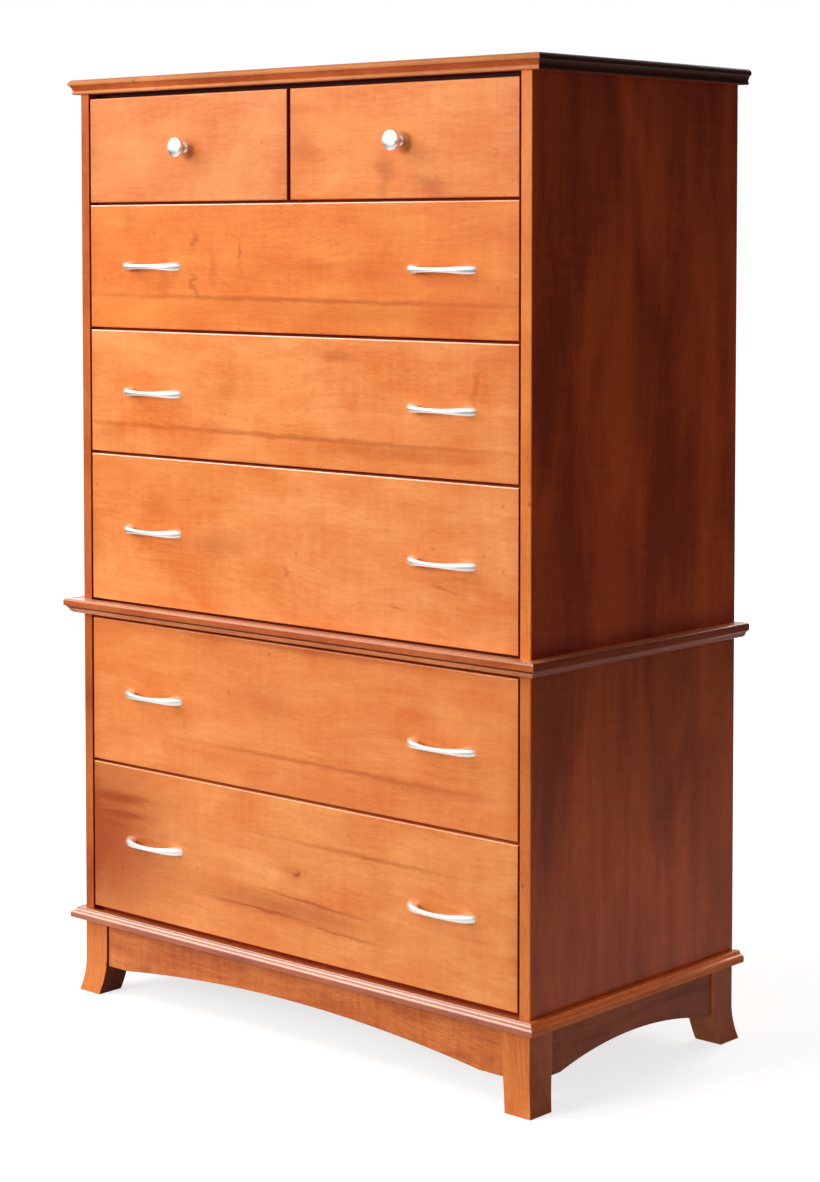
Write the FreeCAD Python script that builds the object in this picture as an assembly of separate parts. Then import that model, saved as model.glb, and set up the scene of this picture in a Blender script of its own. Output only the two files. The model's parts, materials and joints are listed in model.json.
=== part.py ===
import FreeCAD, Part
import math
import os
from collections import namedtuple

from FreeCAD import Vector

# A chest on chest in solid wood, in millimetres.
# +Z is up, the drawers open towards -Y, and +X is to the right of someone who faces them.
# The origin is on the floor, under the middle of the whole chest.

# ---------------------------------------------------------------- cases
overall_height = 1495.0
case_width = 945.0            # outside, the same for both cases
case_depth = 494.0            # front edge to rear edge of a side
side_thickness = 19.0
side_edge_radius = 1.5        # eased front edge of a side
partition_thickness = 19.0
back_thickness = 6.0          # plywood, laid on the rear edges of the case
back_inset = 8.0              # the back stops this far inside the case's outer face
top_thickness = 23.5
top_side_overhang = 11.0      # the top board stands out past each side

# ---------------------------------------------------------------- base frame
leg_height = 133.0
leg_size = 51.0               # square stock
toe_flare = 8.0               # the foot's outer corner kicks out by this much, both ways
heel_flare = 11.0             # the inner faces follow by this much, so the leg tapers
toe_curve_height = 56.0       # where the outer curve begins
heel_curve_height = 78.0      # where the inner curve begins
skirt_thickness = 19.0
skirt_setback = 3.5           # skirts stand back from the legs' outer faces
skirt_clearance = 47.0        # floor to a skirt's lower edge, beside the legs
front_arch_rise = 25.0
side_arch_rise = 22.0
front_ear = 46.0              # straight run between leg and arch
side_ear = 22.0
tenon_length = 20.0
tenon_thickness = 8.0
tenon_shoulder = 10.0         # a tenon stands in from the skirt's upper and lower edges
brace_height = 40.0
brace_reach = 45.0            # how far a corner brace runs along each skirt, past the leg

# ---------------------------------------------------------------- drawer fronts, counted from the top
small_front_height = 167.0
second_front_height = 197.0
third_front_height = 197.0    # the fourth takes what is left of the overall height
fifth_front_height = 232.5
sixth_front_height = 240.5
front_thickness = 20.0
front_edge_radius = 2.5
row_gap = 4.0                 # between one front and the next above it
end_gap = 3.0                 # between a front and the side of the case
small_front_gap = 6.0         # between the two small fronts
base_reveal = 11.5            # foot of the lower case to its lowest front
waist_reveal = 5.5            # highest front of the lower case to the web frame above it
lip_reveal = 3.0              # waist moulding's lip to the front above it
crown_reveal = 8.0            # small fronts to the underside of the top board
stop_gap = 0.3                # a closed front stands this far off the rails

# ---------------------------------------------------------------- web frames
frame_thickness = 19.0
front_rail_width = 60.0
rear_rail_width = 24.0
end_member_width = 50.0
mid_member_width = 60.0
dust_panel_thickness = 5.0
frame_groove = 6.0            # depth of the grooves that hold tongues and dust panels
dado_depth = 6.0              # housings in the case sides

# ---------------------------------------------------------------- drawer boxes
drawer_rear_gap = 32.0        # rear of a box to the rear edges of the case
box_side_thickness = 12.0
box_back_thickness = 12.0
box_under_gap = 0.5           # box above its web frame
box_over_gap = 6.0            # box below the next web frame
partition_gap = 1.5           # small drawer's box to the partition
front_lap = 6.0               # wood left in front of the half-blind dovetails
bottom_thickness = 6.0
bottom_height = 12.0          # box's lower edge to the underside of its bottom
groove_depth = 6.0
tail_pitch = 52.0             # the height of wood that each dovetail takes, roughly
tail_share = 0.74             # of the pitch, at a tail's wide end
tail_slope = 1.0 / 7.0
button_width = 20.0
button_thickness = 3.0
button_height = 36.0
button_catch = 4.0            # how far a turn button reaches up behind the front rail
button_spread = 200.0         # turn buttons each side of the middle of a wide drawer

# ---------------------------------------------------------------- centre guides
guide_width = 20.0
guide_height = 9.0
guide_gap = 0.5               # between the bar and each cleat
guide_end_gap = 2.0           # from the bar's ends to the rails' outer edges
cleat_width = 14.0
cleat_lift = 1.5              # cleats above the web frame

# ---------------------------------------------------------------- mouldings
base_moulding_width = 18.0
base_moulding_height = 17.0
base_moulding_rise = 5.8      # above the joint that it covers
waist_moulding_width = 24.0
waist_moulding_height = 23.0
waist_lip = 4.0               # stands above the joint and keeps the upper case in place
crown_moulding_width = 10.0

# ---------------------------------------------------------------- hardware
pull_spacing = 611.0          # between the middles of a drawer's two pulls
pull_length = 132.0
pull_foot = 25.0              # along the front, where a foot meets it
pull_reach = 23.0
pull_bow_thickness = 6.0      # at the middle
pull_end_height = 17.0
pull_waist_height = 7.2
pull_shoulder_inset = 12.0    # where the bow turns down into the foot, from the end
pull_shoulder_height = 14.5
pull_inner_inset = 11.0       # the same turn on the inside, from the foot's inner edge
pull_inner_height = 13.0
knob_diameter = 32.0
knob_reach = 26.5
knob_rim_height = 18.5        # widest part of the head, from the front
knob_cup_height = 15.0        # where the neck has spread into the underside of the head
knob_neck_height = 7.0        # narrowest part of the neck
knob_neck_diameter = 14.0
knob_base_diameter = 17.0

# ---------------------------------------------------------------- what follows from the sizes
half_width = case_width / 2.0
inner_half = half_width - side_thickness
front_half = inner_half - end_gap
top_half = half_width + top_side_overhang
front_reach = max(pull_reach, knob_reach, waist_moulding_width, base_moulding_width,
                  crown_moulding_width, toe_flare)
rear_reach = max(back_thickness, toe_flare)
overall_depth = front_reach + case_depth + rear_reach
front_y = front_reach - overall_depth / 2.0
front_rear_y = front_y + front_thickness
rail_y = front_rear_y + stop_gap
case_rear_y = front_y + case_depth
box_end_y = case_rear_y - drawer_rear_gap
rear_y = case_rear_y + back_thickness

lower_case_z = leg_height
sixth_z = lower_case_z + base_reveal
fifth_z = sixth_z + sixth_front_height + row_gap
waist_z = fifth_z + fifth_front_height + waist_reveal + frame_thickness
fourth_z = waist_z + waist_lip + lip_reveal
top_z = overall_height - top_thickness
small_z = top_z - crown_reveal - small_front_height
second_z = small_z - row_gap - second_front_height
third_z = second_z - row_gap - third_front_height
fourth_front_height = third_z - row_gap - fourth_z

Drawer = namedtuple("Drawer", "name x0 x1 z0 z1 floor_z ceiling_z lip_left lip_right")


# ---------------------------------------------------------------- shape helpers
def block(x0, x1, y0, y1, z0, z1):
    """A box from its limits along each axis."""
    return Part.makeBox(x1 - x0, y1 - y0, z1 - z0, Vector(x0, y0, z0))


def prism(points, direction):
    """A solid from a closed outline of straight edges and an extrusion vector."""
    wire = Part.makePolygon(points + [points[0]])
    return Part.Face(wire).extrude(direction)


def line(start, end):
    return Part.makeLine(start, end)


def arc(start, middle, end):
    return Part.Arc(start, middle, end).toShape()


def moved(shape, x, y, z):
    copy = shape.copy()
    copy.translate(Vector(x, y, z))
    return copy


def mirror_x(shape):
    return shape.mirror(Vector(0, 0, 0), Vector(1, 0, 0))


def mirror_y(shape):
    return shape.mirror(Vector(0, 0, 0), Vector(0, 1, 0))


def rounded(shape, radius, wanted):
    """The shape with the edges rounded whose middle passes the test."""
    edges = [edge for edge in shape.Edges if wanted(edge.CenterOfMass)]
    return shape.makeFillet(radius, edges)


def near(a, b):
    return abs(a - b) < 0.01


def save(node, solids):
    shape = solids[0] if len(solids) == 1 else Part.makeCompound(solids)
    shape.exportStep("parts/" + node + ".step")


# ---------------------------------------------------------------- base frame
def sabre_slab(across, along):
    """A leg in one elevation: straight above, then curved outwards down to the foot.

    across points inwards over the face that is drawn, and along points into the leg.
    """
    def point(offset, z):
        return across * offset + Vector(0, 0, z)

    def curve(offset, start_z, flare, share):
        """A point on the arc that leaves the vertical at start_z and moves out by flare."""
        radius = (flare ** 2 + start_z ** 2) / (2.0 * flare)
        turn = math.asin(start_z / radius) * share
        return point(offset - radius * (1.0 - math.cos(turn)), start_z - radius * math.sin(turn))

    toe = curve(0.0, toe_curve_height, toe_flare, 1.0)
    heel = curve(leg_size, heel_curve_height, heel_flare, 1.0)
    outline = Part.Wire([
        line(point(0, leg_height), point(0, toe_curve_height)),
        arc(point(0, toe_curve_height), curve(0.0, toe_curve_height, toe_flare, 0.5), toe),
        line(toe, heel),
        arc(heel, curve(leg_size, heel_curve_height, heel_flare, 0.5),
            point(leg_size, heel_curve_height)),
        line(point(leg_size, heel_curve_height), point(leg_size, leg_height)),
        line(point(leg_size, leg_height), point(0, leg_height)),
    ])
    face = Part.Face(outline)
    face.translate(along * -toe_flare)
    return face.extrude(along * (toe_flare + leg_size))


def tenon_limits():
    """Lower and upper limit of the tenons that join skirts to legs."""
    return skirt_clearance + tenon_shoulder, leg_height - tenon_shoulder


def corner_leg():
    """The front left leg, with its outer corner on the Z axis."""
    x_axis = Vector(1, 0, 0)
    y_axis = Vector(0, 1, 0)
    leg = sabre_slab(x_axis, y_axis).common(sabre_slab(y_axis, x_axis))
    low, high = tenon_limits()
    outer = skirt_setback + (skirt_thickness - tenon_thickness) / 2.0
    inner = outer + tenon_thickness
    start = leg_size - tenon_length
    leg = leg.cut(block(start, leg_size, outer, inner, low, high))
    return leg.cut(block(outer, inner, start, leg_size, low, high))


def corner_brace():
    """The front left brace, notched round its leg, in the same place as corner_leg."""
    face = skirt_setback + skirt_thickness
    end = leg_size + brace_reach
    low = leg_height - brace_height
    outline = [
        Vector(leg_size, face, low), Vector(end, face, low), Vector(face, end, low),
        Vector(face, leg_size, low), Vector(leg_size, leg_size, low),
    ]
    return prism(outline, Vector(0, 0, brace_height))


def four_corners(shape):
    """Front left, front right, rear left and rear right copies of a front left piece."""
    front = moved(shape, -half_width, front_y, 0)
    rear = moved(mirror_y(shape), -half_width, case_rear_y, 0)
    return [front, mirror_x(front), rear, mirror_x(rear)]


def skirt(length, rise, ear):
    """A skirt along X from 0 to length, outer face at y = 0, with a tenon at each end."""
    board = block(0, length, 0, skirt_thickness, skirt_clearance, leg_height)
    if rise > 0:
        left = Vector(ear, 0, skirt_clearance)
        crest = Vector(length / 2.0, 0, skirt_clearance + rise)
        right = Vector(length - ear, 0, skirt_clearance)
        arch = Part.Face(Part.Wire([arc(left, crest, right), line(right, left)]))
        board = board.cut(arch.extrude(Vector(0, skirt_thickness, 0)))
    low, high = tenon_limits()
    outer = (skirt_thickness - tenon_thickness) / 2.0
    tenons = [block(start, start + tenon_length, outer, outer + tenon_thickness, low, high)
              for start in (-tenon_length, length)]
    return board.fuse(tenons).removeSplitter()


def base_frame():
    places = ["front_left", "front_right", "rear_left", "rear_right"]
    for place, leg in zip(places, four_corners(corner_leg())):
        save("leg_" + place, [leg])
    save("corner_braces", four_corners(corner_brace()))

    front_length = case_width - 2 * leg_size
    side_length = case_depth - 2 * leg_size
    front = moved(skirt(front_length, front_arch_rise, front_ear),
                  -front_length / 2.0, front_y + skirt_setback, 0)
    rear = moved(skirt(front_length, 0.0, 0.0),
                 -front_length / 2.0, case_rear_y - skirt_setback - skirt_thickness, 0)
    right = skirt(side_length, side_arch_rise, side_ear)
    right.rotate(Vector(0, 0, 0), Vector(0, 0, 1), 90)
    right = moved(right, half_width - skirt_setback, front_y + leg_size, 0)
    save("skirt_front", [front])
    save("skirt_rear", [rear])
    save("skirt_right", [right])
    save("skirt_left", [mirror_x(right)])


# ---------------------------------------------------------------- web frames and cases
def frame_below(front_z):
    """Lower face of the web frame that is centred on the gap under a front."""
    return front_z - row_gap / 2.0 - frame_thickness / 2.0


lower_frames = [lower_case_z, frame_below(fifth_z), waist_z - frame_thickness]
upper_frames = [waist_z, frame_below(third_z), frame_below(second_z), frame_below(small_z),
                top_z - frame_thickness]


def web_frame(z0, edge_y):
    """Two rails, three cross members tongued into them, and two dust panels in the grooves."""
    z1 = z0 + frame_thickness
    panel_z0 = z0 + (frame_thickness - dust_panel_thickness) / 2.0
    panel_z1 = panel_z0 + dust_panel_thickness
    end_x = inner_half + dado_depth
    inner_y = rail_y + front_rail_width
    outer_y = case_rear_y - rear_rail_width
    end_member_x = inner_half - end_member_width
    mid_x = mid_member_width / 2.0

    front_rail = block(-end_x, end_x, edge_y, inner_y, z0, z1)
    rear_rail = block(-end_x, end_x, outer_y, case_rear_y, z0, z1)
    tongues = block(-end_x, end_x, inner_y - frame_groove, outer_y + frame_groove,
                    panel_z0, panel_z1)
    panel = block(mid_x - frame_groove, end_member_x + frame_groove,
                  inner_y - frame_groove, outer_y + frame_groove, panel_z0, panel_z1)
    panels = [panel, mirror_x(panel)]

    def cross_member(x0, x1):
        tongue = block(x0, x1, inner_y - frame_groove, outer_y + frame_groove,
                       panel_z0, panel_z1)
        member = block(x0, x1, inner_y, outer_y, z0, z1).fuse(tongue)
        return member.cut(panels).removeSplitter()

    return [front_rail.cut(tongues), rear_rail.cut(tongues), cross_member(-end_x, -end_member_x),
            cross_member(-mid_x, mid_x), cross_member(end_member_x, end_x)] + panels


def case_side(z0, z1, frames, flush_frames):
    """The right side of a case, housed for the web frames that it carries."""
    side = block(inner_half, half_width, front_y, case_rear_y, z0, z1)
    side = rounded(side, side_edge_radius,
                   lambda p: near(p.x, half_width) and near(p.y, front_y))
    for frame_z in frames:
        start_y = front_y if frame_z in flush_frames else rail_y
        side = side.cut(block(inner_half, inner_half + dado_depth, start_y, case_rear_y,
                              frame_z, frame_z + frame_thickness))
    return side


def back(z0, z1):
    x = half_width - back_inset
    return block(-x, x, case_rear_y, rear_y, z0, z1)


def cases():
    lower_names = ["lower_bottom_frame", "lower_middle_frame", "lower_top_frame"]
    for name, z in zip(lower_names, lower_frames):
        edge_y = front_y if name == "lower_top_frame" else rail_y
        save(name, web_frame(z, edge_y))
    upper_names = ["upper_bottom_frame", "upper_low_frame", "upper_middle_frame",
                   "upper_high_frame", "upper_top_frame"]
    for name, z in zip(upper_names, upper_frames):
        save(name, web_frame(z, rail_y))

    lower_side = case_side(lower_case_z, waist_z, lower_frames, lower_frames[-1:])
    upper_side = case_side(waist_z, top_z, upper_frames, [])
    save("lower_side_right", [lower_side])
    save("lower_side_left", [mirror_x(lower_side)])
    save("upper_side_right", [upper_side])
    save("upper_side_left", [mirror_x(upper_side)])
    save("lower_back", [back(lower_case_z, waist_z)])
    save("upper_back", [back(waist_z, top_z)])
    save("top_board", [block(-top_half, top_half, front_y, rear_y, top_z, top_z + top_thickness)])
    save("partition", [block(-partition_thickness / 2.0, partition_thickness / 2.0, rail_y,
                             case_rear_y, upper_frames[3] + frame_thickness, upper_frames[4])])


# ---------------------------------------------------------------- mouldings
def mitred_moulding(profile, width, height, inner_x, z0):
    """Front, right and left lengths of a moulding, mitred at the front corners.

    profile draws the section: it gets a function that turns a distance out from the case and
    a height above the moulding's foot into a point, and returns the section's edges.
    """
    outer_x = inner_x + width
    outer_y = front_y - width

    def front_point(out, up):
        return Vector(-outer_x, front_y - out, z0 + up)

    def side_point(out, up):
        return Vector(inner_x + out, outer_y, z0 + up)

    front_bar = Part.Face(Part.Wire(profile(front_point))).extrude(Vector(2 * outer_x, 0, 0))
    side_bar = Part.Face(Part.Wire(profile(side_point))).extrude(Vector(0, rear_y - outer_y, 0))
    rise = Vector(0, 0, height)
    front_plan = prism([Vector(-inner_x, front_y, z0), Vector(inner_x, front_y, z0),
                        Vector(outer_x, outer_y, z0), Vector(-outer_x, outer_y, z0)], rise)
    side_plan = prism([Vector(inner_x, front_y, z0), Vector(outer_x, outer_y, z0),
                       Vector(outer_x, rear_y, z0), Vector(inner_x, rear_y, z0)], rise)
    right = side_bar.common(side_plan)
    return [front_bar.common(front_plan), right, mirror_x(right)]


def base_section(point):
    """A low fascia, an ogee that runs back from it, and a narrow flat on top."""
    width = base_moulding_width
    height = base_moulding_height
    fascia = height * 0.42
    return [
        line(point(0, 0), point(width, 0)),
        line(point(width, 0), point(width, fascia)),
        arc(point(width, fascia), point(width * 0.93, height * 0.57),
            point(width * 0.8, height * 0.66)),
        arc(point(width * 0.8, height * 0.66), point(width * 0.65, height * 0.75),
            point(width * 0.57, height * 0.9)),
        arc(point(width * 0.57, height * 0.9), point(width * 0.55, height * 0.97),
            point(width * 0.5, height)),
        line(point(width * 0.5, height), point(0, height)),
        line(point(0, height), point(0, 0)),
    ]


def waist_section(point):
    """A rounded shelf edge with a cove and a soft bead under it."""
    width = waist_moulding_width
    height = waist_moulding_height
    return [
        line(point(0, 0), point(width * 0.33, 0)),
        arc(point(width * 0.33, 0), point(width * 0.56, height * 0.04),
            point(width * 0.68, height * 0.16)),
        arc(point(width * 0.68, height * 0.16), point(width * 0.78, height * 0.35),
            point(width * 0.93, height * 0.5)),
        line(point(width * 0.93, height * 0.5), point(width, height * 0.5)),
        line(point(width, height * 0.5), point(width, height * 0.83)),
        arc(point(width, height * 0.83), point(width * 0.95, height * 0.95),
            point(width * 0.83, height)),
        line(point(width * 0.83, height), point(0, height)),
        line(point(0, height), point(0, 0)),
    ]


def crown_section(point):
    """A bead, a cove that spreads to a small lip, and a quarter round that closes the top."""
    width = crown_moulding_width
    height = top_thickness
    return [
        line(point(0, 0), point(width * 0.35, 0)),
        arc(point(width * 0.35, 0), point(width * 0.52, height * 0.1),
            point(width * 0.4, height * 0.2)),
        arc(point(width * 0.4, height * 0.2), point(width * 0.56, height * 0.45),
            point(width * 0.88, height * 0.62)),
        line(point(width * 0.88, height * 0.62), point(width, height * 0.62)),
        line(point(width, height * 0.62), point(width, height * 0.68)),
        arc(point(width, height * 0.68), point(width * 0.84, height * 0.89),
            point(width * 0.45, height)),
        line(point(width * 0.45, height), point(0, height)),
        line(point(0, height), point(0, 0)),
    ]


def mouldings():
    save("base_moulding", mitred_moulding(
        base_section, base_moulding_width, base_moulding_height, half_width,
        lower_case_z + base_moulding_rise - base_moulding_height))
    save("waist_moulding", mitred_moulding(
        waist_section, waist_moulding_width, waist_moulding_height, half_width,
        waist_z + waist_lip - waist_moulding_height))
    save("crown_moulding", mitred_moulding(
        crown_section, crown_moulding_width, top_thickness, top_half, top_z))


# ---------------------------------------------------------------- drawers
def drawer_list():
    """Every drawer: the edges of its front, the web frames round it, and its end lips.

    A lip is what a front has past the box. The wide fronts have none.
    """
    def wide(name, z, height, frame_z, next_frame_z):
        return Drawer(name, -front_half, front_half, z, z + height,
                      frame_z + frame_thickness, next_frame_z, 0.0, 0.0)

    inner_x = small_front_gap / 2.0
    lip = partition_thickness / 2.0 + partition_gap - inner_x
    edges = (small_z, small_z + small_front_height)
    room = (upper_frames[3] + frame_thickness, upper_frames[4])
    return [
        Drawer("top_left_drawer", -front_half, -inner_x, *edges, *room, 0.0, lip),
        Drawer("top_right_drawer", inner_x, front_half, *edges, *room, lip, 0.0),
        wide("second_drawer", second_z, second_front_height, upper_frames[2], upper_frames[3]),
        wide("third_drawer", third_z, third_front_height, upper_frames[1], upper_frames[2]),
        wide("fourth_drawer", fourth_z, fourth_front_height, upper_frames[0], upper_frames[1]),
        wide("fifth_drawer", fifth_z, fifth_front_height, lower_frames[1], lower_frames[2]),
        wide("sixth_drawer", sixth_z, sixth_front_height, lower_frames[0], lower_frames[1]),
    ]


def is_small(drawer):
    return drawer.lip_left + drawer.lip_right > 0


def middle_x(drawer):
    return (drawer.x0 + drawer.x1) / 2.0


def tail_rows(z0, z1):
    """Middle and wide-end height of each dovetail that fits between two heights."""
    count = max(2, int(round((z1 - z0) / tail_pitch)))
    pitch = (z1 - z0) / count
    return [(z0 + pitch * (i + 0.5), pitch * tail_share) for i in range(count)]


def tail_corners(tip_y, root_y, z0, z1):
    """Corners of a column of dovetails, going up: root, tip, tip, root for each tail."""
    corners = []
    taper = abs(root_y - tip_y) * tail_slope
    for z, height in tail_rows(z0, z1):
        tip = height / 2.0
        root = tip - taper
        corners += [(root_y, z - root), (tip_y, z - tip), (tip_y, z + tip), (root_y, z + root)]
    return corners


def box_side(x0, z0, z1, back_z):
    """A drawer side, with half-blind tails for the front and through tails for the back."""
    tail_y = front_y + front_lap
    shoulder_y = box_end_y - box_back_thickness
    outline = [(front_rear_y, z0), (box_end_y, z0), (box_end_y, back_z), (shoulder_y, back_z)]
    outline += tail_corners(box_end_y, shoulder_y, back_z, z1)
    outline += [(shoulder_y, z1), (front_rear_y, z1)]
    outline += reversed(tail_corners(tail_y, front_rear_y, z0, z1))
    points = [Vector(x0, y, z) for y, z in outline]
    return prism(points, Vector(box_side_thickness, 0, 0))


def drawer_front(drawer):
    board = block(drawer.x0, drawer.x1, front_y, front_rear_y, drawer.z0, drawer.z1)
    return rounded(board, front_edge_radius, lambda p: near(p.y, front_y))


def drawer_wood(drawer):
    """A drawer's front, the rest of its box, and its bottom with the guide cleats."""
    x0 = drawer.x0 + drawer.lip_left
    x1 = drawer.x1 - drawer.lip_right
    z0 = drawer.floor_z + box_under_gap
    z1 = drawer.ceiling_z - box_over_gap
    bottom_z = z0 + bottom_height
    back_z = bottom_z + bottom_thickness
    inner_x0 = x0 + box_side_thickness
    inner_x1 = x1 - box_side_thickness

    bottom = block(inner_x0 - groove_depth, inner_x1 + groove_depth,
                   front_rear_y - groove_depth, box_end_y, bottom_z, back_z)
    sides = [box_side(x0, z0, z1, back_z).cut(bottom), box_side(inner_x1, z0, z1, back_z).cut(bottom)]
    box_back = block(x0, x1, box_end_y - box_back_thickness, box_end_y, back_z, z1).cut(sides)
    front = drawer_front(drawer).cut(sides + [bottom])

    cleats = []
    for side in (-1, 1):
        x = middle_x(drawer) + side * (guide_width / 2.0 + guide_gap + cleat_width / 2.0)
        cleats.append(block(x - cleat_width / 2.0, x + cleat_width / 2.0, rail_y, box_end_y,
                            drawer.floor_z + cleat_lift, bottom_z))
    return front, sides + [box_back], [bottom] + cleats


def guide_bar(drawer):
    x = middle_x(drawer)
    return block(x - guide_width / 2.0, x + guide_width / 2.0, rail_y + guide_end_gap,
                 case_rear_y - guide_end_gap, drawer.floor_z, drawer.floor_z + guide_height)


# ---------------------------------------------------------------- knobs and pulls
def tangent_arc(start, direction, end):
    """The arc that leaves start in a direction and ends at end, all in one plane."""
    chord = end - start
    heading = Vector(direction).normalize()
    along = chord.dot(heading)
    aside = chord - heading * along
    turn = math.atan2(aside.Length, along)
    radius = chord.Length / (2.0 * math.sin(turn))
    normal = Vector(aside).normalize()
    middle = start + heading * (radius * math.sin(turn)) + normal * (radius * (1 - math.cos(turn)))
    return arc(start, middle, end)


def bow_arcs(half_bow, shoulder, crown, half_foot):
    """One long edge of a pull in plan, from foot to foot: two feet and a flat bow, tangent."""
    left = Vector(-half_bow, -shoulder, 0)
    right = Vector(half_bow, -shoulder, 0)
    sag = crown - shoulder
    bow_radius = (half_bow ** 2 + sag ** 2) / (2.0 * sag)
    slope = math.asin(half_bow / bow_radius)
    outwards = Vector(math.cos(slope), math.sin(slope), 0)
    right_foot = tangent_arc(right, outwards, Vector(half_foot, 0, 0))
    left_foot = tangent_arc(left, Vector(-outwards.x, outwards.y, 0), Vector(-half_foot, 0, 0))
    return [left_foot, arc(left, Vector(0, -crown, 0), right), right_foot]


def bow_pull():
    """A pull on the plane y = 0, centred on the origin, standing out towards -Y."""
    half = pull_length / 2.0
    inner_half_length = half - pull_foot
    outer = bow_arcs(half - pull_shoulder_inset, pull_shoulder_height, pull_reach, half)
    inner = bow_arcs(inner_half_length - pull_inner_inset, pull_inner_height,
                     pull_reach - pull_bow_thickness, inner_half_length)
    feet = [line(Vector(side * half, 0, 0), Vector(side * inner_half_length, 0, 0))
            for side in (-1, 1)]
    plan = Part.Face(Part.Wire(Part.__sortEdges__(outer + inner + feet)))
    high = pull_end_height / 2.0
    low = pull_waist_height / 2.0
    plan.translate(Vector(0, 0, -high))
    bow = plan.extrude(Vector(0, 0, 2 * high))

    far = pull_reach
    spindle = Part.Face(Part.Wire([
        arc(Vector(-half, -far, high), Vector(0, -far, low), Vector(half, -far, high)),
        line(Vector(half, -far, high), Vector(half, -far, -high)),
        arc(Vector(half, -far, -high), Vector(0, -far, -low), Vector(-half, -far, -high)),
        line(Vector(-half, -far, -high), Vector(-half, -far, high)),
    ])).extrude(Vector(0, far, 0))
    return bow.common(spindle)


def knob():
    """A mushroom knob on the plane y = 0, turned about the Y axis, standing out towards -Y."""
    base = knob_base_diameter / 2.0
    neck = knob_neck_diameter / 2.0
    rim = knob_diameter / 2.0
    rim_y = knob_rim_height
    dome = knob_reach - rim_y
    dome_radius = (rim ** 2 + dome ** 2) / (2.0 * dome)
    half_turn = math.asin(rim / dome_radius) / 2.0

    def point(radius, out):
        return Vector(radius, -out, 0)

    dome_middle = point(dome_radius * math.sin(half_turn),
                        knob_reach - dome_radius * (1.0 - math.cos(half_turn)))
    outline = Part.Wire([
        line(point(0, 0), point(base, 0)),
        line(point(base, 0), point(neck, knob_neck_height)),
        line(point(neck, knob_neck_height), point(rim * 0.72, knob_cup_height)),
        line(point(rim * 0.72, knob_cup_height), point(rim, rim_y)),
        arc(point(rim, rim_y), dome_middle, point(0, knob_reach)),
        line(point(0, knob_reach), point(0, 0)),
    ])
    solid = Part.Face(outline).revolve(Vector(0, 0, 0), Vector(0, 1, 0), 360)
    return solid if solid.Volume > 0 else solid.reversed()


def turn_button(x, top_z):
    """A metal catch in front of the box's back, which stops the open drawer."""
    rear = box_end_y - box_back_thickness
    return block(x - button_width / 2.0, x + button_width / 2.0, rear - button_thickness, rear,
                 top_z - button_height, top_z)


def hardware(drawer, pull_shape, knob_shape):
    """What is metal on a drawer: a knob or two pulls in front, and the turn buttons behind."""
    x = middle_x(drawer)
    z = (drawer.z0 + drawer.z1) / 2.0
    button_z = drawer.ceiling_z + button_catch
    if is_small(drawer):
        return [moved(knob_shape, x, front_y, z), turn_button(x, button_z)]
    pulls = [moved(pull_shape, x + side * pull_spacing / 2.0, front_y, z) for side in (-1, 1)]
    return pulls + [turn_button(x + side * button_spread, button_z) for side in (-1, 1)]


def drawers():
    pull_shape = bow_pull()
    knob_shape = knob()
    guides = []
    for drawer in drawer_list():
        front, box, bottom = drawer_wood(drawer)
        save(drawer.name + "_front", [front])
        save(drawer.name + "_box", box)
        save(drawer.name + "_bottom", bottom)
        save(drawer.name + "_hardware", hardware(drawer, pull_shape, knob_shape))
        guides.append(guide_bar(drawer))
    save("drawer_guides", guides)


os.makedirs("parts", exist_ok=True)
base_frame()
cases()
mouldings()
drawers()
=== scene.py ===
"""A chest on chest in stained maple: sabre legs, mitred mouldings, seven drawers, nickel pulls."""

import json
from math import cos, pi, radians, sin

import bmesh
import bpy
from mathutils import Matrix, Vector


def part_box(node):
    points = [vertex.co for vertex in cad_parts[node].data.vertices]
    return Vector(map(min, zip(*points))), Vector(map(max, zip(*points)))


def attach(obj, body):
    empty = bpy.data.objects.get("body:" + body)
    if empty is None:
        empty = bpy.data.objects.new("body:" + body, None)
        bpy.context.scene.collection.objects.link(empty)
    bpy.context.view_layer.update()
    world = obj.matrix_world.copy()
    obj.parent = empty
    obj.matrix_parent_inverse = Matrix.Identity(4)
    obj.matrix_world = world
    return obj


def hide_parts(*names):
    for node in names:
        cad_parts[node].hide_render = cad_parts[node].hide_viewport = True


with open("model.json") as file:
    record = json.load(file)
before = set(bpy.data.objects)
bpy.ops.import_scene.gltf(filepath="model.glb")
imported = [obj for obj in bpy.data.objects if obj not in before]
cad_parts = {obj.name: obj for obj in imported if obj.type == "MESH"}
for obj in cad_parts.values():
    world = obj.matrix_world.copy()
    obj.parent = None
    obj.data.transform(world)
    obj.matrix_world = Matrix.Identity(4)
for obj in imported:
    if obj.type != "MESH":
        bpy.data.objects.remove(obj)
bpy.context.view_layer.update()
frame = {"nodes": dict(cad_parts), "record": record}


# ---------------------------------------------------------------- camera
# A long lens 1.24 m up, turned to the chest's right front corner. The camera is almost level and
# the picture plane is shifted, so that uprights stay upright.
camera = bpy.data.objects.new("camera", bpy.data.cameras.new("camera"))
bpy.context.scene.collection.objects.link(camera)
camera.location = (2.7551, -3.0308, 1.2391)
camera.rotation_euler = (radians(90.0 - 3.037), 0.0, radians(41.937))
camera.data.lens = 79.14
camera.data.sensor_width = 36.0
camera.data.shift_y = -215.0 / 1182.0
bpy.context.scene.camera = camera
bpy.context.scene.view_settings.view_transform = "Standard"


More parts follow.
